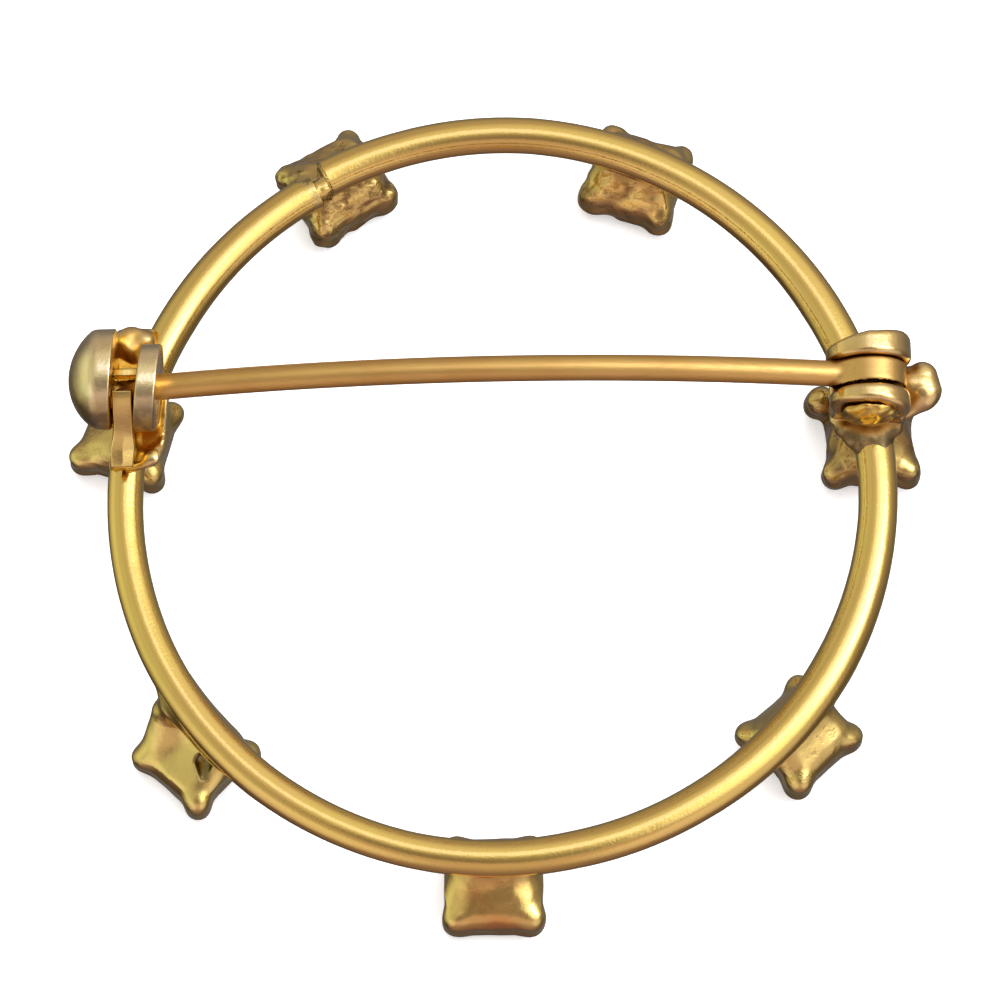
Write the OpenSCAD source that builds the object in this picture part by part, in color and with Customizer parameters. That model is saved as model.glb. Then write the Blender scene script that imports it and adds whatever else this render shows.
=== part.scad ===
// Circle brooch of round wire with seven four-claw settings, seen lying face down:
// the stones point down at the surface, and the pin, hinge and catch are on top.
// X runs along the pin towards the hinge, and Z points up out of the brooch's back.
// The origin is on the surface, under the middle of the ring.

/* [Ring] */
// Outside diameter of the wire ring
ring_od = 30; // [29:0.5:31]
// Thickness of the round wire
wire_d = 1.45; // [1.35:0.05:1.55]
// Height of the middle of the wire
ring_z = 4.2; // [4.15:0.05:4.25]
// Angle round the ring where the two ends of the wire meet
wire_joint_angle = 117; // [112:1:120]
// Gap between the two ends of the wire
wire_joint_gap = 0.3; // [0.2:0.05:0.4]

/* [Settings] */
// Distance from the middle of the ring to the middle of a setting
setting_r = 14.6; // [14.4:0.1:14.8]
// Sideways distance from a setting's middle to a claw's
claw_half = 1.38; // [1.34:0.02:1.42]
// Thickness of a claw at its widest
claw_d = 0.92; // [0.86:0.02:0.96]
// Thickness of a claw where it starts at the setting's back
claw_root_d = 0.7; // [0.6:0.05:0.75]
// Half the width of a setting's flat back across the wire
back_half = 0.5; // [0.45:0.05:0.6]
// Half the length of a setting's flat back along the wire
back_along_half = 1.35; // [1.25:0.05:1.4]
// Half the width of a setting midway between two claws
skirt_half = 1.56; // [1.52:0.01:1.6]
// Height at which the straight sides of a setting turn in towards its back
shoulder_z = 1.4; // [1.3:0.05:1.5]
// Height of a setting's flat back
back_z = 3.62; // [3.55:0.01:3.7]
// Height at which the claws are widest
claw_z = 0.8; // [0.75:0.05:0.85]

/* [Stones] */
// Diameter of a round cut stone
stone_d = 3.04; // [2.96:0.02:3.1]
// Height of the crown, from the table to the girdle
crown_h = 0.5; // [0.45:0.05:0.55]
// Depth of the pavilion, from the girdle to the point
pavilion_h = 1.35; // [1.2:0.05:1.4]
// Share of the stone's width that the flat table takes
table_share = 0.57; // [0.53:0.01:0.62]

/* [Pin] */
// Distance of the pin from the middle of the ring
pin_y = 3.6; // [3.5:0.05:3.7]
// Thickness of the pin's stem
pin_d = 0.98; // [0.92:0.01:1]
// Height of the middle of the stem at the top of its bow
pin_top_z = 8.43; // [8.4:0.01:8.46]
// Radius of the bow of the stem
pin_bow_r = 55; // [54:0.5:56]
// Length of the sharpened end
pin_point_l = 1.8; // [1.7:0.05:1.85]

/* [Hinge] */
// Distance of the rivet from the middle of the ring, along the pin
rivet_x = 13.95; // [13.9:0.01:14]
// Height of the rivet
rivet_z = 6.4; // [6.38:0.01:6.42]
// Thickness of the rivet
rivet_d = 0.8; // [0.7:0.05:0.85]
// Radius of the rounded top of each ear
ear_r = 1.6; // [1.5:0.05:1.65]
// Thickness of each ear
ear_t = 0.9; // [0.8:0.05:0.95]
// Gap between the two ears
ear_gap = 1.12; // [1.1:0.01:1.16]
// Radius of the flat eye at the end of the pin
eye_r = 1.25; // [1.2:0.01:1.26]
// Thickness of the eye
eye_t = 0.9; // [0.86:0.02:0.94]

/* [Catch] */
// Place of the middle of the gap between the catch's cheeks, along the pin
catch_x = -14.1; // [-14.15:0.01:-14.05]
// Height of the axis that the tumbler turns on
catch_z = 6.7; // [6.68:0.01:6.72]
// Gap between the two cheeks
cheek_gap = 0.92; // [0.9:0.01:0.94]
// Thickness of a cheek
cheek_t = 0.75; // [0.72:0.01:0.78]
// Radius of the inner cheek, which the pin goes through
inner_cheek_r = 1.65; // [1.6:0.01:1.7]
// Radius of the outer cheek, which is closed by a dome
outer_cheek_r = 1.86; // [1.8:0.01:1.86]
// How far the outer cheek's middle is from the pin's line
outer_cheek_shift = 0.32; // [0.2:0.02:0.32]
// Height of the dome
dome_h = 0.85; // [0.7:0.05:0.9]
// Width of the way in for the pin
mouth_w = 1.1; // [1.08:0.01:1.14]
// Radius of the tumbler
tumbler_r = 1.4; // [1.35:0.01:1.45]
// Reach of the tumbler's lever from its axis
lever_l = 2.85; // [2.6:0.05:3]
// Thickness of the lever
lever_t = 0.45; // [0.4:0.05:0.5]
// Angle of the lever below the level of its axis
lever_drop = 20; // [18:1:21]

/* [Hidden] */
$fn = 48;
gold = [0.86, 0.68, 0.32];
copper_gold = [0.80, 0.55, 0.33];
clear_stone = [0.90, 0.93, 0.95];
// Room left between pieces that stay put, and round pieces that turn
fit_gap = 0.03;
run_gap = 0.05;
// Overlap that makes sure two shapes join, or that a cut goes right through
bite = 0.1;

// Where hand soldering has put each setting, counted from the one at the bottom:
// degrees round the ring, millimetres outward, and degrees of twist
SHIFT_TURN = 0;
SHIFT_OUT = 1;
SHIFT_TWIST = 2;
setting_shift = [
    [-2.3, 0.0, 1.5],
    [-0.6, -0.25, -9],
    [-2.6, -0.1, -10],
    [3.2, 0.0, 3],
    [-1.2, 0.1, 6],
    [-0.3, 0.1, -3.5],
    [-0.1, 0.4, 8]];
settings = len(setting_shift);
first_setting_angle = 270;

ring_r = (ring_od - wire_d) / 2;
wire_joint_turn = wire_joint_gap / ring_r * 180 / PI;

rim_z = claw_z - 0.05;

// Stone, from the table up, because the brooch lies on its face
stone_r = stone_d / 2;
girdle_h = 0.12;
table_r = stone_r * table_share;
star_r = stone_r * 0.8;
star_z = crown_h * 0.5;
facets = 8;

// Place of a point on the bow of the pin, above the surface
function bow_z(x) = pin_top_z - pin_bow_r + sqrt(pin_bow_r * pin_bow_r - x * x);

stem_start_x = rivet_x - 0.55;
// Where sharpening starts, and an end for the stem past its point
point_x = -12.65;
stem_end_x = point_x - pin_point_l - 0.3;
stem_start_angle = acos(stem_start_x / pin_bow_r);
stem_end_angle = acos(stem_end_x / pin_bow_r);
pin_tip_r = 0.08;
eye_bore_r = rivet_d / 2 + run_gap;

ear_foot_z = 4.6;
hinge_plate_l = 3.1;
hinge_plate_t = 0.32;
hinge_w = ear_gap + 2 * ear_t;
plate_top_z = 5.05;
rivet_head_r = 1;
rivet_head_h = 0.45;

// Stop bead at the outer end of the hinge
stop_x = 16.4;
stop_shift = -0.1;
stop_z = 5.15;
stop_d = 1.08;
stop_l = 1.85;
stop_neck_t = 1.1;
stop_neck_h = 0.6;

inner_cheek_x = catch_x + cheek_gap / 2;
outer_cheek_x = catch_x - cheek_gap / 2;
catch_plate_y = [0.95, 6.5];
catch_plate_x = [outer_cheek_x - cheek_t, inner_cheek_x + cheek_t + 0.45];
catch_plate_t = 0.35;
cheek_foot_w = 2;

hub_r = 0.78;
hub_l = 0.25;
seat_l = hub_l + run_gap;
tumbler_w = cheek_gap - 2 * 0.06;
tumbler_bore_r = 0.5;
// How far past level the tumbler's way out for the pin opens
tumbler_open = 50;
lever_tip_r = 0.3;
lever_start = 0.9;

// Moves a shape from the middle of a setting, with X outward, to its place on the ring
module at_setting(i) {
    shift = setting_shift[i];
    rotate([0, 0, first_setting_angle + i * 360 / settings + shift[SHIFT_TURN]])
        translate([setting_r + shift[SHIFT_OUT], 0, 0])
            rotate([0, 0, shift[SHIFT_TWIST]])
                children();
}

// Rod along the pin's direction, from x to x + l
module rod_x(x, l, r) {
    translate([x, 0, 0])
        rotate([0, 90, 0])
            cylinder(h = l, r = r);
}

// Rod across the pin's direction, centred on its length
module rod_y(l, r) {
    rotate([90, 0, 0])
        cylinder(h = l, r = r, center = true);
}

// Tapered rod between two points
module taper(p, q, r1, r2) {
    v = q - p;
    translate(p)
        rotate([0, acos(v.z / norm(v)), atan2(v.y, v.x)])
            cylinder(h = norm(v), r1 = r1, r2 = r2, $fn = 24);
}

module wire_ring() {
    rotate([0, 0, wire_joint_angle + wire_joint_turn / 2])
        rotate_extrude(angle = 360 - wire_joint_turn, $fn = 180)
            translate([ring_r, 0])
                circle(r = wire_d / 2);
}

// Outline of a stone from the side, grown by a gap
module stone_outline(gap) {
    r = stone_r + gap;
    polygon([
        [0, -2 * gap],
        [table_r + gap, -2 * gap],
        [r, crown_h - gap],
        [r, crown_h + girdle_h + gap],
        [0, crown_h + girdle_h + pavilion_h + 2 * gap]]);
}

// One side view of the block behind a stone: straight sides, then a shoulder up to the flat back
module skirt_side(back) {
    rotate([90, 0, 0])
        linear_extrude(height = 4 * skirt_half, center = true)
            polygon([
                [-skirt_half, rim_z],
                [skirt_half, rim_z],
                [skirt_half, shoulder_z],
                [back, back_z],
                [-back, back_z],
                [-skirt_half, shoulder_z]]);
}

// Claw at one corner: a ridge down the shoulder, a straight post, and a tip bent in over the stone.
// side_x and side_y are 1 or -1.
module claw(side_x, side_y) {
    root = [side_x * (back_half - 0.15), side_y * (back_along_half - 0.2), back_z - 0.2];
    elbow = [side_x * claw_half, side_y * claw_half, shoulder_z];
    bend = [side_x * claw_half, side_y * claw_half, claw_z + 0.1];
    tip = [side_x * (claw_half - 0.3), side_y * (claw_half - 0.3), 0.36];
    tip_r = 0.28;
    taper(elbow, root, claw_d / 2 - 0.01, claw_root_d / 2);
    translate([elbow.x, elbow.y, claw_z - 0.15])
        cylinder(h = shoulder_z + 0.2 - claw_z, d = claw_d, $fn = 24);
    taper(bend, tip, claw_d / 2 - 0.03, tip_r);
    translate(tip)
        sphere(r = tip_r + 0.01, $fn = 24);
}

module claw_setting() {
    difference() {
        union() {
            intersection() {
                skirt_side(back_half);
                rotate([0, 0, 90])
                    skirt_side(back_along_half);
            }
            for (side_x = [-1, 1])
                for (side_y = [-1, 1])
                    claw(side_x, side_y);
        }
        rotate_extrude()
            stone_outline(fit_gap);
    }
}

module hinge_ears() {
    for (side = [-1, 1])
        translate([rivet_x, pin_y + side * (ear_gap + ear_t) / 2, 0])
            difference() {
                union() {
                    translate([0, 0, rivet_z])
                        rod_y(ear_t, ear_r);
                    translate([-ear_r + 0.04, -ear_t / 2, ear_foot_z])
                        cube([2 * ear_r - 0.08, ear_t, rivet_z - ear_foot_z]);
                }
                translate([0, 0, rivet_z])
                    rod_y(ear_t + bite, rivet_d / 2 + fit_gap);
            }
    translate([rivet_x - hinge_plate_l / 2, pin_y - hinge_w / 2, plate_top_z - hinge_plate_t])
        cube([hinge_plate_l, hinge_w, hinge_plate_t]);
}

// Long bead at the outer end of the hinge, on a short neck
module hinge_stop() {
    bead_r = stop_d / 2;
    translate([stop_x, pin_y + stop_shift, stop_z])
        rotate([90, 0, 0])
            rotate_extrude()
                intersection() {
                    union() {
                        square([stop_d, stop_l - stop_d], center = true);
                        for (end = [-1, 1])
                            translate([0, end * (stop_l - stop_d) / 2])
                                circle(d = stop_d);
                    }
                    translate([0, -stop_l])
                        square([stop_d, 2 * stop_l]);
                }
    translate([rivet_x + 1, pin_y + stop_shift - stop_neck_t / 2, plate_top_z - hinge_plate_t - 0.1])
        cube([stop_x - rivet_x - 1, stop_neck_t, hinge_plate_t + 0.1 + stop_neck_h / 2]);
}

// Block that stands a cheek on the catch's plate
module cheek_foot(x) {
    translate([x, -cheek_foot_w / 2, ear_foot_z + 0.2 - catch_z])
        cube([cheek_t, cheek_foot_w, 1]);
}

// Cheek nearest the hinge, with the upright way in for the pin and a round seat for the tumbler
module inner_cheek() {
    translate([0, pin_y, catch_z])
        difference() {
            union() {
                rod_x(inner_cheek_x, cheek_t, inner_cheek_r);
                cheek_foot(inner_cheek_x);
            }
            rod_x(inner_cheek_x - bite, cheek_t + 2 * bite, mouth_w / 2);
            translate([inner_cheek_x - bite, -mouth_w / 2, 0])
                cube([cheek_t + 2 * bite, mouth_w, inner_cheek_r + bite]);
            rod_x(inner_cheek_x - bite, seat_l + bite, hub_r + run_gap);
        }
}

// Cheek over the pin's point, closed on the outside by a dome
module outer_cheek() {
    dome_r = (outer_cheek_r * outer_cheek_r + dome_h * dome_h) / (2 * dome_h);
    dome_x = outer_cheek_x - cheek_t;
    translate([0, pin_y, catch_z])
        difference() {
            translate([0, outer_cheek_shift, 0]) {
                rod_x(dome_x, cheek_t, outer_cheek_r);
                cheek_foot(dome_x);
                intersection() {
                    translate([dome_x - dome_h + dome_r, 0, 0])
                        sphere(r = dome_r, $fn = 96);
                    rod_x(dome_x - 2 * dome_h, 2 * dome_h + cheek_t / 2, outer_cheek_r - 0.01);
                }
            }
            rod_x(outer_cheek_x - seat_l, seat_l + bite, hub_r + run_gap);
        }
}

// Plate across the wire, stepped back at two corners, with the other corners cut off
module catch_plate() {
    narrow = 0.7;
    step = 1.2;
    translate([0, 0, plate_top_z - catch_plate_t])
        linear_extrude(height = catch_plate_t)
            polygon([
                [catch_plate_x[0] + narrow, catch_plate_y[0]],
                [catch_plate_x[1] - narrow, catch_plate_y[0]],
                [catch_plate_x[1], catch_plate_y[0] + narrow],
                [catch_plate_x[1], pin_y + step / 2],
                [catch_plate_x[1] - narrow, pin_y + step / 2],
                [catch_plate_x[1] - narrow, catch_plate_y[1]],
                [catch_plate_x[0] + narrow, catch_plate_y[1]],
                [catch_plate_x[0], catch_plate_y[1] - step],
                [catch_plate_x[0], catch_plate_y[0] + step],
                [catch_plate_x[0] + narrow, catch_plate_y[0] + step]]);
}

module brooch_frame() {
    color(gold)
        union() {
            translate([0, 0, ring_z])
                wire_ring();
            for (i = [0 : settings - 1])
                at_setting(i)
                    claw_setting();
            hinge_ears();
            hinge_stop();
            catch_plate();
            inner_cheek();
            outer_cheek();
        }
}

// Points of one level of a stone: count points at radius r and height z, turned by a part of a step
function level(count, r, z, turn) = [
    for (i = [0 : count - 1])
        let (a = 360 * (i + turn) / count)
            [r * cos(a), r * sin(a), z]];

// Round stone: table, star and kite facets, girdle, pavilion facets and point
module cut_stone() {
    n = facets;
    points = concat(
        level(n, table_r, 0, 0),
        level(n, star_r, star_z, 0.5),
        level(2 * n, stone_r, crown_h, 0),
        level(2 * n, stone_r, crown_h + girdle_h, 0),
        [[0, 0, crown_h + girdle_h + pavilion_h]]);
    star = n;
    upper = 2 * n;
    lower = 4 * n;
    point = 6 * n;
    table_face = [[for (i = [0 : n - 1]) i]];
    around = [
        for (i = [0 : n - 1])
            let (
                j = (i + 1) % n,
                before = (i + n - 1) % n,
                left = upper + 2 * i,
                middle = left + 1,
                right = upper + (2 * i + 2) % (2 * n))
            each [
                [i, star + i, j],
                [i, left, star + i],
                [i, star + before, left],
                [star + i, left, middle],
                [star + i, middle, right]]];
    band = [
        for (i = [0 : 2 * n - 1])
            let (j = (i + 1) % (2 * n))
            each [
                [upper + i, lower + i, lower + j],
                [upper + i, lower + j, upper + j],
                [lower + i, point, lower + j]]];
    polyhedron(points = points, faces = concat(table_face, around, band), convexity = 2);
}

module stone(i) {
    color(clear_stone)
        at_setting(i)
            cut_stone();
}

module hinge_rivet() {
    head_ball_r = (rivet_head_r * rivet_head_r + rivet_head_h * rivet_head_h) / (2 * rivet_head_h);
    face_y = hinge_w / 2 + fit_gap;
    color(gold)
        translate([rivet_x, pin_y, rivet_z])
            union() {
                rod_y(2 * face_y + bite, rivet_d / 2);
                for (side = [-1, 1])
                    intersection() {
                        translate([0, side * (face_y + rivet_head_h - head_ball_r), 0])
                            sphere(r = head_ball_r, $fn = 96);
                        translate([-rivet_head_r, side > 0 ? face_y : -face_y - 1, -rivet_head_r])
                            cube([2 * rivet_head_r, 1, 2 * rivet_head_r]);
                    }
            }
}

// What sharpening takes off the end of the stem: everything outside a cone
module sharpener() {
    flare = 0.08;
    difference() {
        cylinder(h = pin_point_l + 1, r = pin_d);
        translate([0, 0, -bite])
            cylinder(h = pin_point_l + bite, r1 = pin_d / 2 + flare, r2 = pin_tip_r);
    }
}

// Bowed stem with a flat drilled eye at the hinge and a sharpened end in the catch
module pin_stem() {
    slope = atan(point_x / sqrt(pin_bow_r * pin_bow_r - point_x * point_x));
    color(copper_gold)
        translate([0, pin_y, 0])
            difference() {
                union() {
                    difference() {
                        translate([0, 0, pin_top_z - pin_bow_r])
                            rotate([90, -stem_start_angle, 0])
                                rotate_extrude(angle = stem_end_angle - stem_start_angle, $fn = 360)
                                    translate([pin_bow_r, 0])
                                        circle(d = pin_d);
                        translate([point_x, 0, bow_z(point_x)])
                            rotate([0, -90 + slope, 0])
                                sharpener();
                    }
                    translate([rivet_x, 0, rivet_z])
                        rod_y(eye_t, eye_r);
                }
                translate([rivet_x, 0, rivet_z])
                    rod_y(2 * eye_t, eye_bore_r);
            }
}

// Tumbler: an open-sided drum between the cheeks, with hubs in them and a lever
module catch_tumbler() {
    left_x = catch_x - tumbler_w / 2;
    hub_x = left_x - (cheek_gap - tumbler_w) / 2 - hub_l;
    hub_length = cheek_gap + 2 * hub_l;
    color(gold)
        translate([0, pin_y, catch_z])
            union() {
                difference() {
                    union() {
                        rod_x(left_x, tumbler_w, tumbler_r);
                        rod_x(hub_x, hub_length, hub_r);
                    }
                    rod_x(hub_x - bite, hub_length + 2 * bite, tumbler_bore_r);
                    for (turn = [0, -tumbler_open])
                        rotate([turn, 0, 0])
                            translate([hub_x - bite, -tumbler_bore_r, 0])
                                cube([hub_length + 2 * bite, 2 * tumbler_r, 2 * tumbler_r]);
                }
                rotate([lever_drop, 0, 0]) {
                    translate([left_x, -lever_l, -lever_t / 2])
                        cube([tumbler_w, lever_l - lever_start, lever_t]);
                    translate([0, -lever_l, 0])
                        rod_x(left_x, tumbler_w, lever_tip_r);
                }
            }
}

brooch_frame();
stone(0);  // stone_1
stone(1);  // stone_2
stone(2);  // stone_3
stone(3);  // stone_4
stone(4);  // stone_5
stone(5);  // stone_6
stone(6);  // stone_7
hinge_rivet();
pin_stem();
catch_tumbler();
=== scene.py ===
# %% [markdown]
# # A circle brooch, seen from behind
# The brooch lies face down: a ring of round wire, seven stone settings hanging under it, and a pin
# with its hinge and its safety catch on top. The packed model gives the places and the moving
# bodies, and this lesson builds the looks round it, in the same frame.

# %% Load the frame
import math

import bpy
import numpy as np
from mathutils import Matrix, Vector


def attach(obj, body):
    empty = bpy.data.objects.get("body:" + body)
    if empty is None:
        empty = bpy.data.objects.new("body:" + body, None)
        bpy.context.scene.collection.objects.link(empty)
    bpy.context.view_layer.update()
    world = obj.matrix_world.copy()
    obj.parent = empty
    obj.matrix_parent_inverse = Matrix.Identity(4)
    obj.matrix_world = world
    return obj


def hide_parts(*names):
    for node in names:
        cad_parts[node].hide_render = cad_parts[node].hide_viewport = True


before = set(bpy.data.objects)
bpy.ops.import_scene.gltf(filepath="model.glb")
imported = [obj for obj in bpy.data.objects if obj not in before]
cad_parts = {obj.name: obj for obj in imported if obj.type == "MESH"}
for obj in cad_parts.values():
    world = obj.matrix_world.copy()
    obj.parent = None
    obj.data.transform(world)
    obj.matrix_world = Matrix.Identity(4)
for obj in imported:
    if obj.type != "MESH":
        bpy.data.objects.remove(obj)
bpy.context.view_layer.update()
MM = 0.001
print("CAD nodes:", sorted(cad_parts))

# %% [markdown]
# ## Where things are
# Most of these are the source's own sizes, in millimetres. The wire and the pin differ from it by a
# few hundredths. Hand soldering has put each setting a little off its even spacing: a few degrees
# round the ring, a little outward, and a little twisted. The three lists say how much. Like all the
# lists of seven here, they run counter-clockwise from the bottom setting.

# %% The brooch's own sizes
RING_R, WIRE_R, RING_Z = 14.275, 0.732, 4.2
JOINT_ANGLE = 117.0
SETTINGS = range(7)
SETTING_R = 14.6
TURNS = [-2.3, -0.6, -2.6, 3.2, -1.2, -0.3, -0.1]
OUTS = [0.0, -0.25, -0.1, 0.0, 0.1, 0.1, 0.4]
TWISTS = [1.5, -9.0, -10.0, 3.0, 6.0, -3.5, 8.0]
PIN_Y, PIN_R, PIN_TOP_Z, BOW_R = 3.6, 0.495, 8.40, 55.0
RIVET = np.array([13.95, PIN_Y, 6.4])
CATCH = np.array([-14.1, PIN_Y, 6.7])
PLATE_Z = 4.86
print("ring", 2 * (RING_R + WIRE_R), "mm across")

# %% [markdown]
# ## Soldered shapes
# Soldered metal has no seams: one part flows into the next with a small fillet. Modelling that with
# bevels would need care at every join. It is easier to say how far any point is from the metal, as
# one formula, and then to lay a skin where that distance is nought. These four formulas are the
# plain bodies that everything is built from: a bead, a tapered rod, a block and a disc.

# %% Plain bodies
def ball(p, centre, r):
    return np.linalg.norm(p - np.asarray(centre), axis=-1) - r


def rod(p, start, end, r_start, r_end=None):
    start, end = np.asarray(start, float), np.asarray(end, float)
    r_end = r_start if r_end is None else r_end
    along = np.clip((p - start) @ (end - start) / np.dot(end - start, end - start), 0, 1)
    gap = np.linalg.norm(p - start - along[..., None] * (end - start), axis=-1)
    return gap - (r_start + (r_end - r_start) * along)


def block(p, centre, half, edge):
    q = np.abs(p - np.asarray(centre)) - (np.asarray(half) - edge)
    return np.linalg.norm(np.maximum(q, 0), axis=-1) + np.minimum(q.max(-1), 0) - edge


def disc(p, centre, axis, r, half, edge):
    q = p - np.asarray(centre)
    across = [k for k in range(3) if k != axis]
    radial = np.hypot(q[..., across[0]], q[..., across[1]]) - r + edge
    thick = np.abs(q[..., axis]) - half + edge
    outside = np.hypot(np.maximum(radial, 0), np.maximum(thick, 0))
    return outside + np.minimum(np.maximum(radial, thick), 0) - edge


print("2 mm from the middle of a 1.5 mm bead:", ball(np.array([2.0, 0, 0]), (0, 0, 0), 1.5), "mm clear")

# %% [markdown]
# Two bodies are joined by taking the smaller of their distances, and one is cut away from another by
# taking the larger. A soft step between the two leaves a fillet or a rounded edge for nothing.

# %% Join, cut and trim
def join(a, b, soft):
    h = np.clip(0.5 + 0.5 * (b - a) / soft, 0, 1)
    return b * (1 - h) + a * h - soft * h * (1 - h)


def cut(a, b, soft):
    return -join(-a, b, soft)


def both(a, b, soft):
    return -join(-a, -b, soft)


print("two faces that meet, joined with a 0.4 mm fillet:", join(0.0, 0.0, 0.4), "mm")

# %% [markdown]
# ## The bent wire
# The ring was bent by hand and isn't quite round. Each row is a place round the ring in degrees, how
# far the wire strays outward there, and how much thicker it is. It strays most at the joint, where
# its left end sits 0.4 mm further in than a true circle. Solder from the settings, the hinge and the
# catch flows onto the wire, so the wire has a distance formula too, with a gap at its joint.

# %% How the wire bends
BEND = [
    (-60, -0.09, 0.00), (-30, -0.01, 0.07), (-5, 0.03, 0.01), (30, -0.01, 0.04),
    (57, 0.02, -0.02), (84, 0.02, -0.03), (105, -0.05, -0.03), (117.25, -0.06, -0.01),
    (117.7, -0.42, -0.06), (122, -0.28, -0.04), (150, -0.22, 0.00), (180, -0.06, -0.05),
    (205, 0.09, -0.04), (230, 0.14, -0.03), (255, 0.06, -0.05), (280, -0.08, -0.02),
    (300, -0.09, 0.00)]
BEND_AT, BEND_STRAY, BEND_THICK = np.array(BEND).T
GAP_SHIFT, GAP_HALF, MM_PER_DEGREE = 1.25, 1.1, 0.25


def ring_bend(degrees):
    t = np.mod(np.asarray(degrees) - BEND_AT[0], 360) + BEND_AT[0]
    return np.interp(t, BEND_AT, BEND_STRAY), np.interp(t, BEND_AT, BEND_THICK)


def wire(p, grow=0.0):
    degrees = np.degrees(np.arctan2(p[..., 1], p[..., 0]))
    stray, thick = ring_bend(degrees)
    across = np.hypot(p[..., 0], p[..., 1]) - RING_R - stray
    solid = np.hypot(across, p[..., 2] - RING_Z) - WIRE_R - thick - grow
    gap = (GAP_HALF - np.abs(degrees - JOINT_ANGLE - GAP_SHIFT)) * MM_PER_DEGREE
    return np.maximum(solid, gap)


print("the wire strays from", BEND_STRAY.min(), "to", BEND_STRAY.max(), "mm")

# %% [markdown]
# ## Soft unevenness
# Hammered, cast and soldered metal is never quite flat. Sculpting the lumps by hand would be slow. A
# few sine waves that cross each other at odd angles are soft, and they are the same on every run.

# %% Crossing waves
WAVES = 5


def uneven(p, size, seed):
    turn = np.random.RandomState(seed)
    total = 0
    for _ in range(WAVES):
        way = turn.normal(size=3)
        way /= np.linalg.norm(way)
        pace, start = turn.uniform(0.7, 1.4), turn.uniform(0, 6.3)
        total = total + np.sin(p @ way * 2 * math.pi / size * pace + start)
    return total / WAVES


print("unevenness at the middle of the frame:", round(float(uneven(np.zeros(3), 1.0, 0)), 3))

# %% [markdown]
# ## From formula to mesh
# A volume remesh could turn the formulas into a mesh, but it would leave ripples that polished metal
# shows at once. Here the skin is laid on a fine grid instead. Each grid cell that the surface passes
# through gets one point, near where the cell's edges cross the surface.

# %% Points of the skin
def cell_points(d, cells, low, cell):
    total = np.zeros((len(cells), 3))
    count = np.zeros(len(cells))
    corners = np.array([[i, j, k] for i in (0, 1) for j in (0, 1) for k in (0, 1)])
    for a in corners:
        for axis in range(3):
            if a[axis]:
                continue
            b = a.copy()
            b[axis] = 1
            da = d[tuple((cells + a).T)]
            db = d[tuple((cells + b).T)]
            hit = (da < 0) != (db < 0)
            t = np.where(hit, da / np.where(da == db, 1, da - db), 0)
            total += np.where(hit[:, None], a + t[:, None] * (b - a), 0)
            count += hit
    return low + (cells + total / count[:, None]) * cell


def slope(f, p, step=0.004):
    out = np.empty_like(p)
    for k in range(3):
        shift = np.zeros(3)
        shift[k] = step
        out[:, k] = (f(p + shift) - f(p - shift)) / (2 * step)
    return out


print("slope beside a bead:", slope(lambda p: ball(p, (0, 0, 0), 1.0), np.array([[2.0, 0, 0]]))[0])

# %% [markdown]
# Wherever the grid steps from inside the metal to outside it, the four cells round that step are
# joined by a quad.

# %% Quads of the skin
def cell_quads(inside, index):
    quads = []
    for axis in range(3):
        u, v = (axis + 1) % 3, (axis + 2) % 3
        here = np.moveaxis(inside, (axis, u, v), (0, 1, 2))
        ids = np.moveaxis(index, (axis, u, v), (0, 1, 2))
        here, beyond = here[:-1, 1:-1, 1:-1], here[1:, 1:-1, 1:-1]
        four = np.stack([ids[:, :-1, :-1], ids[:, 1:, :-1], ids[:, 1:, 1:], ids[:, :-1, 1:]], -1)
        quads.append(four[here & ~beyond])
        quads.append(four[~here & beyond][:, ::-1])
    return np.concatenate(quads)


trial_cube = np.zeros((4, 4, 4), bool)
trial_cube[1:3, 1:3, 1:3] = True
print("a cube of 8 inside points takes", len(cell_quads(trial_cube, np.zeros((3, 3, 3), int))), "quads")

# %% [markdown]
# The points are then slid along the slope onto the exact surface, never further than one grid cell.
# The mesh takes its normals from the formula too, so that the polish reflects without ripples.

# %% The whole skin
SLIDES, LEAST_SLOPE = 4, 0.2


def skin(f, low, high, cell):
    low, high = np.asarray(low, float), np.asarray(high, float)
    counts = np.ceil((high - low) / cell).astype(int) + 1
    axes = [low[k] + cell * np.arange(counts[k]) for k in range(3)]
    d = f(np.stack(np.meshgrid(*axes, indexing="ij"), -1))
    inside = d < 0
    full = sum(
        inside[i:counts[0] - 1 + i, j:counts[1] - 1 + j, k:counts[2] - 1 + k].astype(int)
        for i in (0, 1) for j in (0, 1) for k in (0, 1))
    active = (full > 0) & (full < 8)
    cells = np.argwhere(active)
    index = np.full(active.shape, -1)
    index[active] = np.arange(len(cells))
    points = cell_points(d, cells, low, cell)
    start = points.copy()
    for _ in range(SLIDES):
        g = slope(f, points)
        points = points - (f(points) / np.maximum((g * g).sum(-1), LEAST_SLOPE))[:, None] * g
        points = start + np.clip(points - start, -cell, cell)
    g = slope(f, points)
    normals = g / np.maximum(np.linalg.norm(g, axis=1), 1e-6)[:, None]
    return points, cell_quads(inside, index), normals


trial_points, trial_quads, _ = skin(lambda p: ball(p, (0, 0, 0), 1.0), [-1.3] * 3, [1.3] * 3, 0.2)
print("a trial bead has", len(trial_points), "points and", len(trial_quads), "quads")

# %% [markdown]
# ## Mesh objects
# The formulas are in millimetres and Blender works in metres, so one helper makes every object. It
# also stores marks: a number for each point of the mesh, which a finish can read. Marks could be
# painted by hand, but worked out from the shape they land exactly where the shape asks for them.

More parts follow.
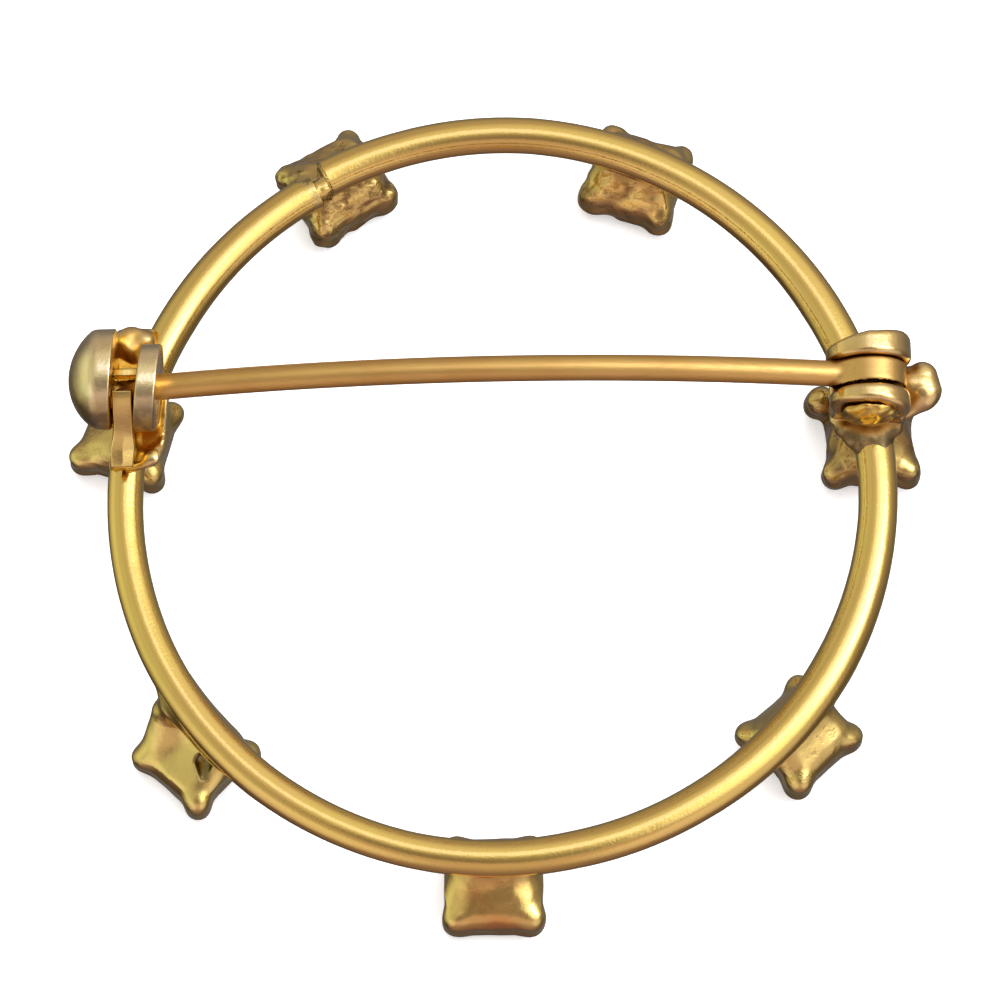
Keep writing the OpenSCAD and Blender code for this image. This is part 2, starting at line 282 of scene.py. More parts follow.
# %% Make a mesh object from millimetres
def mesh_object(name, points, faces, normals=None, marks=None):
    mesh = bpy.data.meshes.new(name)
    mesh.from_pydata((np.asarray(points) * MM).tolist(), [], [list(map(int, q)) for q in faces])
    mesh.polygons.foreach_set("use_smooth", [True] * len(mesh.polygons))
    for mark, values in (marks or {}).items():
        layer = mesh.attributes.new(mark, "FLOAT", "POINT")
        layer.data.foreach_set("value", np.asarray(values, np.float32))
    mesh.update()
    if normals is not None:
        mesh.normals_split_custom_set_from_vertices(np.asarray(normals).tolist())
    obj = bpy.data.objects.new(name, mesh)
    bpy.context.scene.collection.objects.link(obj)
    print(f"{name}: {len(mesh.vertices)} points, {len(mesh.polygons)} faces")
    return obj


print("one millimetre is", MM, "m")

# %% [markdown]
# ## Crevices
# Dirt and old solder flux gather where the metal closes in again just off the surface, and shade falls
# there too, so this mark carries real dirt and painted shade both. The formula can say so: a step out
# from an open face is that far from the metal, but a step out from a crevice is still close to it. A
# piece may add to this mark where its metal is darker still, with more painted shade.

# %% A piece of metal and its marks
REACH, FURTHER = 0.45, 2.2


# Dirt and painted shade: how closely the metal closes in again just off each point.
def crevice(f, points, normals):
    near = np.clip(1 - f(points + normals * REACH) / REACH, 0, 1)
    far = np.clip(1 - f(points + normals * FURTHER * REACH) / (FURTHER * REACH), 0, 1)
    return np.clip(0.65 * near + 0.35 * far, 0, 1)


def metal_piece(name, f, low, high, cell, extra=None, place=None, around=None):
    points, quads, normals = skin(f, low, high, cell)
    marks = {"crevice": crevice(around or f, points, normals)}
    for mark, values in (extra(points) if extra else {}).items():
        marks[mark] = np.clip(marks.get(mark, 0) + values + np.zeros(len(points)), 0, 1)
    if place is not None:
        points, normals = place(points), place(normals, turn_only=True)
    return mesh_object(name, points, quads, normals, marks)


print("crevices are felt for", REACH, "and", round(FURTHER * REACH, 2), "mm out")

# %% [markdown]
# ## Shader sums
# A finish is mostly arithmetic on noise: more tarnish here, less shine there. Written with nodes by
# hand it is long and hard to read, so one small class lets a socket take part in a Python sum, and
# adds the Math nodes behind it.

# %% A socket that can be added and multiplied
class Socket:
    def __init__(self, nodes, out):
        self.nodes, self.out = nodes, out

    def sum(self, operation, *values, clamp=False):
        settings = {"operation": operation, "use_clamp": clamp}
        return self.nodes.node("ShaderNodeMath", settings, dict(enumerate(values)))

    def __add__(self, other):
        return self.sum("ADD", self, other)

    def __radd__(self, other):
        return self.sum("ADD", other, self)

    def __sub__(self, other):
        return self.sum("SUBTRACT", self, other)

    def __rsub__(self, other):
        return self.sum("SUBTRACT", other, self)

    def __mul__(self, other):
        return self.sum("MULTIPLY", self, other)

    def __rmul__(self, other):
        return self.sum("MULTIPLY", other, self)

    def clamped(self):
        return self.sum("ADD", self, 0.0, clamp=True)


def step(value, low, high):
    return ((value - low) * (1 / (high - low))).clamped()


print("sums on sockets:", [name for name in vars(Socket) if name.endswith(("add__", "sub__", "mul__"))])

# %% [markdown]
# Every other node comes from one method, which takes the node's type, its settings, and the values
# or links of its sockets. It serves the finishes and, later, the light.

# %% Nodes by one method
class Nodes:
    def __init__(self, tree):
        self.tree = tree

    def plug(self, slot, value):
        if isinstance(value, Socket):
            self.tree.links.new(value.out, slot)
        else:
            slot.default_value = (*value, 1.0) if slot.type == "RGBA" else value

    def node(self, kind, settings=None, inputs=None, output=0):
        node = self.tree.nodes.new(kind)
        for key, value in (settings or {}).items():
            setattr(node, key, value)
        for key, value in (inputs or {}).items():
            self.plug(node.inputs[key], value)
        return Socket(self, node.outputs[output])

    def scaled(self, vector, factor):
        return self.node("ShaderNodeVectorMath", {"operation": "SCALE"}, {0: vector, "Scale": factor})


print("nodes can:", [name for name in vars(Nodes) if not name.startswith("_")])

# %% [markdown]
# A finish is such a set of nodes with one Principled shader at its end. Its noise is measured in
# millimetres of the object itself, so that the grain is as fine on the pin as on the catch.

# %% A finish
class Finish(Nodes):
    def __init__(self, name, **constants):
        self.material = bpy.data.materials.new(name)
        self.material.use_nodes = True
        super().__init__(self.material.node_tree)
        self.shader = self.tree.nodes["Principled BSDF"]
        self.set(**constants)

    def set(self, **sockets):
        for socket, value in sockets.items():
            self.plug(self.shader.inputs[socket.replace("_", " ")], value)

    def mix(self, mask, a, b):
        return self.node("ShaderNodeMix", {"data_type": "RGBA"}, {0: mask, 6: a, 7: b}, 2)

    def place(self):
        return self.scaled(self.node("ShaderNodeTexCoord", output=3), 1 / MM)

    def stretched(self, scale):
        return self.node("ShaderNodeVectorMath", {"operation": "MULTIPLY"}, {0: self.place(), 1: scale})

    def noise(self, scale, detail, rough=0.5, spot=None):
        spot = spot or self.place()
        return self.node("ShaderNodeTexNoise", {}, {
            "Vector": spot, "Scale": scale, "Detail": detail, "Roughness": rough})

    def mark(self, name):
        return self.node("ShaderNodeAttribute", {"attribute_name": name}, output=2)

    def bump(self, height, strength, distance):
        return self.node("ShaderNodeBump", {}, {
            "Strength": strength, "Distance": distance * MM, "Height": height})


print("a finish can:", [name for name in vars(Finish) if not name.startswith("_")])

# %% [markdown]
# ## Ring gold
# The ring is yellow gold, polished bright. An even colour would look like plastic, because real
# polish has slow clouds of warmer metal and hairlines from the cloth. Metal shows mostly what it
# reflects, so the finish keeps to a strong base colour, a low roughness and slow changes of both.

# %% Polished ring gold
GOLD, WARM_GOLD = (0.85, 0.605, 0.165), (0.82, 0.53, 0.18)


def ring_gold():
    f = Finish("ring_gold", Metallic=1.0)
    cloud = step(f.noise(0.28, 2.0), 0.40, 0.66)
    hair = f.noise(9.0, 2.0, 0.6)
    f.set(Base_Color=f.mix(cloud * 0.4, GOLD, WARM_GOLD))
    f.set(Roughness=0.075 + 0.05 * hair)
    f.set(Normal=f.bump(hair + 2.0 * f.noise(1.3, 2.0), 0.10, 0.05))
    return f.material


RING_GOLD = ring_gold()
print("made", RING_GOLD.name)

# %% [markdown]
# ## Setting gold
# A polishing cloth doesn't reach the backs of the settings. They are brownish, with warm orange
# patches, pits, dirt and painted shade in the corners, paler solder near the wire and painted shade
# low on their sides, standing in for their own shadow mirrored from the ground.
# One finish serves all seven: each of these is a colour laid over the last, and a mark on the mesh
# says where and how strongly.

# %% Settings' gold, dull and stained
BACK_GOLD, ORANGE_STAIN, PITTED = (0.87, 0.66, 0.21), (0.80, 0.38, 0.11), (0.20, 0.11, 0.035)
SOLDERED, TARNISHED = (0.66, 0.54, 0.28), (0.30, 0.20, 0.085)
# A dark brown for dirt and painted shade in the crevices, and a dark olive for painted shade low down.
DIRT_AND_SHADE_BROWN, LOW_PAINTED_SHADE = (0.085, 0.045, 0.018), (0.15, 0.11, 0.045)


def setting_gold():
    f = Finish("setting_gold", Metallic=1.0)
    cloud = step(f.noise(0.8, 3.0, 0.55), 0.38, 0.60)
    # The crevice mark darkens the settings with dirt and painted shade.
    dirt_and_shade = step(f.mark("crevice"), 0.30, 0.90) * (0.35 + 0.65 * step(f.noise(1.1, 3.0, 0.6), 0.36, 0.62))
    pits = step(f.noise(1.3, 4.0, 0.6), 0.53, 0.64) * f.mark("rough")
    tint = f.mix(f.mark("stain") * (0.45 + 0.55 * cloud), BACK_GOLD, ORANGE_STAIN)
    tint = f.mix(pits * 0.8, tint, PITTED)
    tint = f.mix(f.mark("solder") * 0.25, tint, SOLDERED)
    tint = f.mix(f.mark("tarnish") * (0.5 + 0.5 * cloud), tint, TARNISHED)
    tint = f.mix(dirt_and_shade * 0.75, tint, DIRT_AND_SHADE_BROWN)
    # Painted shade low on the sides, for the settings' own shadow mirrored from the ground.
    f.set(Base_Color=f.mix(f.mark("low") * 0.85, tint, LOW_PAINTED_SHADE))
    fine = f.noise(5.0, 4.0, 0.62)
    f.set(Roughness=0.09 + 0.12 * fine + 0.2 * dirt_and_shade + 0.2 * pits)
    f.set(Normal=f.bump(0.6 * fine + f.noise(2.1, 2.0) - 3.0 * pits, 0.20, 0.05))
    return f.material


SETTING_GOLD = setting_gold()
print("made", SETTING_GOLD.name)

# %% [markdown]
# ## Hinge and catch gold
# Fittings like these come ready made and are soldered on, so their metals differ a little: the catch
# is paler, the rivet yellower. Inside them the gold looks deep orange, because light goes there from
# gold to gold, so the crevices take a deeper colour, painted in together with some dirt. One function
# gives all four finishes, from an outer, a clouded and an inner colour, the last being that painted
# shade and dirt.

# %% Fittings' gold
OLD_SOLDER, BRIGHT_SOLDER = (0.10, 0.07, 0.03), (0.40, 0.29, 0.12)


def fitting_gold(name, outer, clouded, inner_dirt_and_shade):
    f = Finish(name, Metallic=1.0)
    # Painted shade and glow from gold to gold in the crevices, with some dirt.
    dirt_and_shade = step(f.mark("crevice"), 0.25, 0.80)
    lump = f.mark("solder")
    tint = f.mix(step(f.noise(0.9, 2.0), 0.42, 0.66) * 0.5, outer, clouded)
    patch = f.mix(step(f.noise(1.5, 3.0, 0.6), 0.42, 0.60), OLD_SOLDER, BRIGHT_SOLDER)
    tint = f.mix(lump * 0.85, tint, patch)
    f.set(Base_Color=f.mix(dirt_and_shade, tint, inner_dirt_and_shade))
    fine = f.noise(7.0, 3.0, 0.6)
    f.set(Roughness=0.07 + 0.08 * fine + 0.18 * dirt_and_shade + 0.30 * lump)
    f.set(Normal=f.bump(fine + 1.5 * f.noise(2.4, 2.0), 0.14, 0.05))
    return f.material


HINGE_GOLD = fitting_gold("hinge_gold", (0.84, 0.62, 0.25), (0.70, 0.43, 0.14), (0.42, 0.21, 0.045))
RIVET_GOLD = fitting_gold("rivet_gold", (0.90, 0.64, 0.15), (0.70, 0.42, 0.08), (0.42, 0.20, 0.045))
CATCH_GOLD = fitting_gold("catch_gold", (0.92, 0.76, 0.40), (0.82, 0.58, 0.22), (0.66, 0.36, 0.045))
LEVER_GOLD = fitting_gold("lever_gold", (0.88, 0.65, 0.21), (0.74, 0.48, 0.14), (0.60, 0.32, 0.04))
print("made", [gold.name for gold in (HINGE_GOLD, RIVET_GOLD, CATCH_GOLD, LEVER_GOLD)])

# %% [markdown]
# ## Pin gold
# The pin is a redder, springy wire with a satin skin. Drawing wire through a plate leaves fine lines
# along it, which a noise stretched along the wire gives without any drawing by hand.

# %% The pin's drawn copper-gold
PIN_TINT, PIN_CLOUDED = (0.76, 0.48, 0.145), (0.68, 0.39, 0.11)
DRAWN_LINE, PIN_DIRT_AND_SHADE = (0.42, 0.215, 0.08), (0.34, 0.18, 0.05)


def pin_gold():
    f = Finish("pin_gold", Metallic=1.0)
    drawn = f.noise(3.0, 3.0, 0.6, f.stretched((0.12, 4.0, 4.0)))
    cloud = step(f.noise(0.35, 2.0), 0.40, 0.65)
    tint = f.mix(cloud * 0.6, PIN_TINT, PIN_CLOUDED)
    tint = f.mix(step(drawn, 0.52, 0.78) * 0.4, tint, DRAWN_LINE)
    # Painted shade and dirt in the pin's crevices beside the hinge.
    f.set(Base_Color=f.mix(step(f.mark("crevice"), 0.3, 0.8), tint, PIN_DIRT_AND_SHADE))
    f.set(Roughness=0.30 + 0.14 * drawn)
    f.set(Normal=f.bump(drawn, 0.16, 0.04))
    return f.material


PIN_GOLD = pin_gold()
print("made", PIN_GOLD.name)

# %% [markdown]
# ## Clear stone
# The stones are colourless and cut to sparkle. A glass shader that bends light more than window
# glass does is enough, because their facets are in the mesh.

# %% Clear stones
CLEAR, HAZY = (0.97, 0.98, 0.99), (0.90, 0.93, 0.95)


def clear_stone():
    f = Finish("clear_stone", Roughness=0.015, IOR=1.9, Transmission_Weight=1.0)
    f.set(Base_Color=f.mix(f.noise(1.1, 2.0) * 0.4, CLEAR, HAZY))
    return f.material


CLEAR_STONE = clear_stone()
print("made", CLEAR_STONE.name)

# %% [markdown]
# ## Dressing the model
# Each finished piece rides on the body that moves it, and says which of the packed nodes it stands
# in for and which material slot it fills.

# %% Dress a piece
def dress(obj, material, body, nodes):
    obj.data.materials.append(material)
    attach(obj, body)
    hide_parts(*nodes)
    return obj


print("moving bodies: pin and tumbler, on the brooch")

# %% [markdown]
# ## The ring
# One length of round wire, bent into a circle, with its two ends meeting at the upper left. The
# right end is cut square and stands a little further out, and the left end was rounded by a file. A
# bent curve object would do for an even wire. This sweep sets the radius at every step instead, so
# that the ends can be shaped, and it keeps the long highlight clean, which a grid skin could disturb.

# %% Sweep the wire
AROUND, STEPS = 48, 720
LEFT_END, RIGHT_END = JOINT_ANGLE + 1.5 - 360, JOINT_ANGLE + 0.2
LEFT_FINE, LEFT_COUNT, RIGHT_FINE, RIGHT_COUNT = 5, 24, 0.6, 10
ROUNDED_OVER, ROUNDED_BY, BEVEL_OVER, BEVEL_BY = 3.2, 0.62, 0.55, 0.12


def ring_angles():
    left = LEFT_END + LEFT_FINE * np.linspace(0, 1, LEFT_COUNT)[:-1] ** 2
    middle = np.linspace(LEFT_END + LEFT_FINE, RIGHT_END - RIGHT_FINE, STEPS)[:-1]
    right = np.linspace(RIGHT_END - RIGHT_FINE, RIGHT_END, RIGHT_COUNT)
    return np.concatenate([left, middle, right])


def wire_ring():
    turn = np.linspace(0, 2 * math.pi, AROUND, endpoint=False)
    up = np.array([0, 0, 1])
    angles = ring_angles()
    points, normals, faces = [], [], []
    for degrees in angles:
        t = math.radians(degrees)
        stray, thick = ring_bend(degrees)
        rounded = 1 - ROUNDED_BY * max(1 - (degrees - LEFT_END) / ROUNDED_OVER, 0) ** 1.6
        bevel = 1 - BEVEL_BY * max(1 - (RIGHT_END - degrees) / BEVEL_OVER, 0)
        out = np.array([math.cos(t), math.sin(t), 0])
        side = np.cos(turn)[:, None] * out + np.sin(turn)[:, None] * up
        r = (WIRE_R + thick) * rounded * bevel
        points.append(out * (RING_R + stray) + RING_Z * up + r * side)
        normals.append(side)
    for i in range(len(angles) - 1):
        for j in range(AROUND):
            here, nxt = i * AROUND, (i + 1) * AROUND
            k = (j + 1) % AROUND
            faces.append((here + j, nxt + j, nxt + k, here + k))
    faces.append(tuple(range(AROUND)))
    faces.append(tuple(range((len(angles) - 1) * AROUND, len(angles) * AROUND))[::-1])
    return mesh_object("wire_ring", np.concatenate(points), faces, np.concatenate(normals))


dress(wire_ring(), RING_GOLD, "brooch", ["brooch_frame"])

# %% [markdown]
# ## Solder in the joint
# Yellow solder fills the step between the wire's two ends. It is a short lumpy plug, so it is a rod
# with some unevenness, laid along the wire's own direction.

# %% Solder plug
PLUG_SHIFT, PLUG_IN, PLUG_DOWN = 0.3, 0.32, 0.05
PLUG_SPOT, PLUG_BOX = np.array([-6.48, 12.6, RING_Z]), 1.3


def joint_metal(p):
    t = math.radians(JOINT_ANGLE + PLUG_SHIFT)
    out, way = np.array([math.cos(t), math.sin(t), 0]), np.array([-math.sin(t), math.cos(t), 0])
    middle = out * (RING_R - PLUG_IN) + np.array([0, 0, RING_Z - PLUG_DOWN])
    plug = rod(p, middle - 0.1 * way, middle + 0.45 * way, 0.40, 0.38)
    return plug - 0.05 * uneven(p, 0.5, 77)


joint = metal_piece(
    "joint_solder", joint_metal, PLUG_SPOT - PLUG_BOX, PLUG_SPOT + PLUG_BOX, 0.05,
    lambda p: {"rough": 1.0, "stain": 0.2})
dress(joint, SETTING_GOLD, "brooch", ["brooch_frame"])

# %% [markdown]
# ## The settings
# Each setting is a little four-sided cup with its open side down: a flat back soldered under the
# wire, four sloping shoulders, and a claw at each corner that bends in over the stone. The claws
# stand out as rounded lobes, so the sides between them look hollow. No two are alike, so the lists
# give each one's claws, sides, edges, solder, roughness and stains. The one at the hinge has a
# longer claw, and the one at the lower left has a pit in its back and a web of solder.

# %% One setting's own sizes and directions
CLAW_R = 0.46
NECK_X, NECK_Y, BACK_Z, TRIM_Z, RIM_Z = 0.45, 1.45, 3.15, 3.6, 0.72
CLAW = [1.42, 1.38, 1.42, 1.38, 1.38, 1.38, 1.40]
SIDE_X = [1.86, 1.66, 1.66, 1.72, 1.76, 1.66, 1.66]
SIDE_Y = [1.86, 1.64, 1.72, 1.76, 1.76, 1.66, 1.62]
EDGE = [1.0, 0.7, 0.8, 0.8, 0.7, 0.8, 0.8]
FILLET = [0.5, 0.6, 0.6, 0.5, 0.5, 0.6, 1.0]
ROUGH = [0.1, 0.3, 0.7, 0.8, 1.0, 0.4, 0.1]
STAIN = [0.9, 0.15, 0.6, 0.6, 0.35, 0.2, 0.0]
TARNISH = [0.0, 0.1, 0.6, 0.0, 0.1, 0.2, 0.0]
LONG_CLAW = {2: ((-1.82, 1.42, 1.9), (-1.92, 1.52, 1.0))}
PIT = {6: ((0.30, 0.72, 2.98), (0.66, 1.06, 2.85))}
WEB = {6: ((0.7, -1.2, 1.95), (-0.15, -1.7, 3.05))}


def setting_degrees(i):
    return 270 + i * 360 / len(SETTINGS) + TURNS[i]


def setting_frame(i):
    angle = math.radians(setting_degrees(i))
    twist = math.radians(TWISTS[i])
    centre = (SETTING_R + OUTS[i]) * np.array([math.cos(angle), math.sin(angle), 0])
    c, s = math.cos(angle + twist), math.sin(angle + twist)
    axes = np.array([[c, -s, 0], [s, c, 0], [0, 0, 1]])

    def place(p, turn_only=False):
        return p @ axes.T + (0 if turn_only else centre)

    return place


print("settings stand at", [round(setting_degrees(i) % 360, 1) for i in SETTINGS], "degrees")

# %% [markdown]
# The cup alone comes first. Its shoulders slope from a narrow neck under the wire to the sides, and
# they sit higher on the side that faces the camera, which makes those sides taller.

# %% The cup
SHOULDER_Z, SHOULDER_TILT = 1.85, 0.5


def shoulder_height(p, i):
    aim = math.radians(setting_degrees(i) + TWISTS[i])
    near = -p[..., 0] * math.sin(aim) - p[..., 1] * math.cos(aim)
    return SHOULDER_Z + SHOULDER_TILT * np.tanh(near * 1.1)


def cup(p, i, shoulder):
    x, y, z = p[..., 0], np.abs(p[..., 1]), p[..., 2]
    fall = np.maximum((BACK_Z - z) / (BACK_Z - shoulder), 0)
    down = np.minimum(fall, 1)
    under_wire = RING_R - SETTING_R - OUTS[i]
    steep = np.hypot(1, (SIDE_X[i] - NECK_X) / (BACK_Z - shoulder))
    slope_x = (np.abs(x - under_wire * (1 - down)) - NECK_X - (SIDE_X[i] - NECK_X) * fall) / steep
    face_x = both(slope_x, np.abs(x) - SIDE_X[i], 0.5)
    face_y = y - NECK_Y - (SIDE_Y[i] - NECK_Y) * down
    body = both(face_x, face_y, EDGE[i])
    body = both(body, z - TRIM_Z, 0.12)
    return both(body, RIM_Z - z, 0.06)


print("shoulders stand between", SHOULDER_Z - SHOULDER_TILT, "and", SHOULDER_Z + SHOULDER_TILT, "mm")

# %% [markdown]
# The claws stand upright at the corners and bend in near the table, where they hold the stone.
# Taking the absolute value of both sideways directions folds all four corners into one, so that one
# claw is enough. The long claw belongs to one corner only and is added without folding.

# %% The claws
CLAW_FOOT_Z, CLAW_TIP_Z, CLAW_TIP_IN, CLAW_TIP_R = 0.95, 0.37, 0.3, 0.28
CLAW_BELOW_SHOULDER = 0.45


def claws(p, i, shoulder):
    x, y, z = np.abs(p[..., 0]), np.abs(p[..., 1]), p[..., 2]
    c, tip = CLAW[i], CLAW[i] - CLAW_TIP_IN
    on_line = np.clip(z, CLAW_FOOT_Z, shoulder - CLAW_BELOW_SHOULDER)
    upright = np.hypot(np.hypot(x - c, y - c), z - on_line) - CLAW_R
    corner = np.stack([x, y, z], -1)
    bent = rod(corner, (c, c, CLAW_FOOT_Z), (tip, tip, CLAW_TIP_Z), CLAW_R - 0.02, CLAW_TIP_R)
    claw = join(upright, bent, 0.05)
    if i in LONG_CLAW:
        claw = join(claw, rod(p, *LONG_CLAW[i], 0.58, 0.54), 0.2)
    return claw


print("claws are", 2 * CLAW_R, "mm thick")

# %% [markdown]
# The stone needs its seat: a space of its own shape, a hair larger all round, cut out of the cup. The
# seat and the stone later share these sizes, so they can't drift apart.

# %% The stone's space
STONE_R, CROWN_H, GIRDLE_H, PAVILION_H, TABLE_SHARE = 1.52, 0.5, 0.12, 1.35, 0.57
SEAT_GAP = 0.03


def stone_space(p, gap):
    r = np.hypot(p[..., 0], p[..., 1])
    crown = (r - STONE_R * TABLE_SHARE) * 0.58 - p[..., 2] * 0.81
    pavilion = (r - STONE_R) * 0.64 + (p[..., 2] - CROWN_H - GIRDLE_H) * 0.77
    return np.maximum(np.maximum(crown, pavilion), r - STONE_R) - gap


print("stones are", 2 * STONE_R, "mm across and", CROWN_H + GIRDLE_H + PAVILION_H, "mm deep")

# %% [markdown]
# Now the parts come together: the cup and claws, the web of solder, lumps that fade out towards the
# wire, a fillet against the wire itself, the pit and the seat.

# %% A setting's metal
ALONG_WIRE, LOWEST = 2.6, 0.2


def pit(p, i):
    return rod(p, *PIT[i], 0.40, 0.24)


def setting_metal(p, i, place):
    shoulder = shoulder_height(p, i)
    metal, bare = join(cup(p, i, shoulder), claws(p, i, shoulder), 0.4), wire(place(p), -0.04)
    if i in WEB:
        metal = join(metal, rod(p, *WEB[i], 0.5, 0.45), 0.9)
    lumps = uneven(p, 1.2, 20 + i) + 0.3 * ROUGH[i] * uneven(p, 0.5, 40 + i)
    metal = metal - (0.02 + 0.06 * ROUGH[i]) * lumps * np.clip(bare / 0.3, 0, 1)
    shape = join(metal, bare, FILLET[i])
    if i in PIT:
        shape = cut(shape, pit(p, i), 0.1)
    shape = np.maximum(shape, np.maximum(np.abs(p[..., 1]) - ALONG_WIRE, LOWEST - p[..., 2]))
    return np.maximum(shape, -stone_space(p, SEAT_GAP))


print("the claws end", LOWEST, "mm above the floor")

# %% [markdown]
# The marks follow the same measures: solder near the wire, shade low on the sides and in the pit,
# roughness on the back, and stains that fade towards both ends. Seven settings are seven calls of
# one function.

# %% Build the settings
def setting_marks(p, i, place):
    on_wire = np.clip(1 - (wire(place(p)) - 0.02) / 0.35, 0, 1)
    hollow = np.clip(1.4 - pit(p, i) / 0.05, 0, 1) if i in PIT else 0
    return {
        "crevice": 0.5 * hollow,
        "solder": on_wire * (0.5 + 0.5 * uneven(p, 0.9, i)),
        # The low mark is painted shade, on the lower sides and in the pit.
        "low": np.maximum(np.clip((1.15 - p[:, 2]) / 0.6, 0, 1), 0.9 * hollow),
        "rough": ROUGH[i] * np.clip((p[:, 2] - 0.9) / 0.8, 0, 1),
        "tarnish": TARNISH[i],
        "stain": STAIN[i] * np.clip(1.25 - np.abs(p[:, 1]) / 1.5, 0, 1)}


def setting_piece(i):
    place = setting_frame(i)
    piece = metal_piece(
        f"setting_{i + 1}", lambda p: setting_metal(p, i, place), (-2.6, -2.75, 0.0), (2.3, 2.75, 5.0),
        0.07, lambda p: setting_marks(p, i, place), place)
    return dress(piece, SETTING_GOLD, "brooch", ["brooch_frame"])


for i in SETTINGS:
    setting_piece(i)

# %% [markdown]
# ## The stones
# The stones face the table, but the brooch can be picked up and turned over. Each is a round cut
# stone: a flat table, eight star and eight kite facets and the small ones between them on the crown,
# and a pavilion that runs to a point. A cut stone is all flat faces, so it is built point by point,
# row upon row, and left unsmoothed.

# %% Cut the stones
STAR_SHARE, KEEL_SHARE, KEEL_DEPTH = 0.80, 0.24, 0.77


def circle(count, r, z, turn=0.0):
    t = (np.arange(count) + turn) * 2 * math.pi / count
    return np.stack([r * np.cos(t), r * np.sin(t), np.full(count, z)], -1)


def stone_mesh():
    top = CROWN_H + GIRDLE_H
    rows = [
        circle(8, STONE_R * TABLE_SHARE, 0.0),
        circle(8, STONE_R * STAR_SHARE, CROWN_H * 0.5, 0.5),
        circle(16, STONE_R, CROWN_H),
        circle(16, STONE_R, top),
        circle(8, STONE_R * KEEL_SHARE, top + PAVILION_H * KEEL_DEPTH, 0.5),
        np.array([[0, 0, top + PAVILION_H]])]
    table, star, low, high, keel, point = np.cumsum([0] + [len(row) for row in rows])[:-1]
    faces = [tuple(table + k for k in range(8))[::-1]]
    for k in range(8):
        after, before, left, right = (k + 1) % 8, (k + 7) % 8, 2 * k, (2 * k + 2) % 16
        faces += [
            (table + k, table + after, star + k),
            (table + k, star + k, low + left, star + before),
            (star + k, low + left + 1, low + left),
            (star + k, low + right, low + left + 1),
            (keel + k, high + left, high + left + 1),
            (keel + k, high + left + 1, high + right),
            (point, keel + before, high + left, keel + k)]
    for k in range(16):
        after = (k + 1) % 16
        faces.append((low + k, low + after, high + after, high + k))
    return np.concatenate(rows), faces


def stone_piece(i):
    points, faces = stone_mesh()
    stone = mesh_object(f"cut_stone_{i + 1}", setting_frame(i)(points), faces)
    stone.data.polygons.foreach_set("use_smooth", [False] * len(stone.data.polygons))
    return dress(stone, CLEAR_STONE, "brooch", [f"stone_{i + 1}"])


for i in SETTINGS:
    stone_piece(i)

# %% [markdown]
# ## The hinge
# Two rounded ears stand on a small plate that is soldered across the wire. Their rims are rounded
# over like rolled wire, and each gets thinner towards the pin. Bending space instead of the ear does
# that: the points are squeezed towards the ear's inner face before the disc's formula sees them.

# %% Hinge ears
FAR_EAR = {"middle": 4.45, "half": 0.46, "slim": 0.30, "r": 1.62}
NEAR_EAR = {"middle": 2.53, "half": 0.35, "slim": 0.29, "r": 1.54}
BORE_R = 0.44


def hinge_ear(p, middle, half, slim, r):
    x, y = p[..., 0], p[..., 1]
    towards_pin = np.clip((RIVET[0] - x) / 1.6, 0, 1)
    swell = 0.08 * np.clip((x - RIVET[0] - 0.3) / 1.0, 0, 1)
    here = half + (slim - half) * towards_pin + swell
    inner_face = middle - half if middle > PIN_Y else middle + half
    squeezed = p.copy()
    squeezed[..., 1] = inner_face + (y - inner_face) * half / here
    ear = disc(squeezed, (RIVET[0] + 0.03, middle, RIVET[2]), 1, r, half, 0.24)
    ear = join(ear, block(squeezed, (RIVET[0], middle, 5.5), (r - 0.15, half, 0.8), 0.25), 0.1)
    return np.maximum(ear, -(np.hypot(x - RIVET[0], p[..., 2] - RIVET[2]) - BORE_R))


print("the ears are", 2 * FAR_EAR["half"], "and", 2 * NEAR_EAR["half"], "mm thick")

# %% [markdown]
# A long bead on a short neck closes the hinge's outer end and stops the pin. On the near side a dull
# lump of solder runs from the plate down over the wire. Its mark darkens it below the ear only, so
# that the ear keeps its shine.

# %% Hinge plate, bead and solder
HINGE_PLATE_HALF = (1.4, 1.38, 0.18)


def stop_bead(p):
    bead = rod(p, (16.08, 3.80, 5.35), (16.14, 3.28, 5.25), 0.58, 0.66)
    tail = rod(p, (16.0, 3.0, 5.15), (15.4, 2.6, 5.0), 0.48, 0.38)
    neck = rod(p, (15.2, 3.5, 5.2), (15.9, 3.5, 5.2), 0.74)
    return join(join(bead, neck, 0.1), tail, 0.35)


def near_lump(p):
    lump = rod(p, (13.05, 2.0, 4.8), (15.0, 2.0, 4.75), 0.34, 0.30)
    lump = join(lump, rod(p, (13.4, 1.65, 4.6), (14.3, 1.75, 4.65), 0.34, 0.26), 0.35)
    lump = join(lump, wire(p, -0.04), 0.55)
    return np.maximum(lump - 0.06 * uneven(p, 0.7, 31), 0.85 - p[..., 1])


def hinge_metal(p):
    shape = block(p, (13.95, PIN_Y - 0.08, PLATE_Z), HINGE_PLATE_HALF, 0.12)
    for ear in (FAR_EAR, NEAR_EAR):
        shape = join(shape, hinge_ear(p, **ear), 0.16)
    shape = join(shape, stop_bead(p), 0.12)
    shape = join(shape, near_lump(p), 0.2)
    return shape - 0.012 * uneven(p, 1.5, 3)


def hinge_marks(p):
    return {"solder": np.clip((2.3 - p[:, 1]) / 0.4, 0, 1) * np.clip((5.35 - p[:, 2]) / 0.3, 0, 1)}


print("half the hinge's plate:", HINGE_PLATE_HALF, "mm")

# %% [markdown]
# ## The rivet
# A short rod through both ears and the pin's eye, hammered over at both ends. The near head shows,
# and the hammer has left it lumpy. Each head is half of a flattened ball, which a sphere scaled along
# one axis would give too, but the formula joins it to the shank.

# %% Rivet metal
NEAR_HEAD = {"side": -1, "face": 2.16, "dome": 0.48, "r": 1.08}
FAR_HEAD = {"side": 1, "face": 4.85, "dome": 0.28, "r": 0.85}


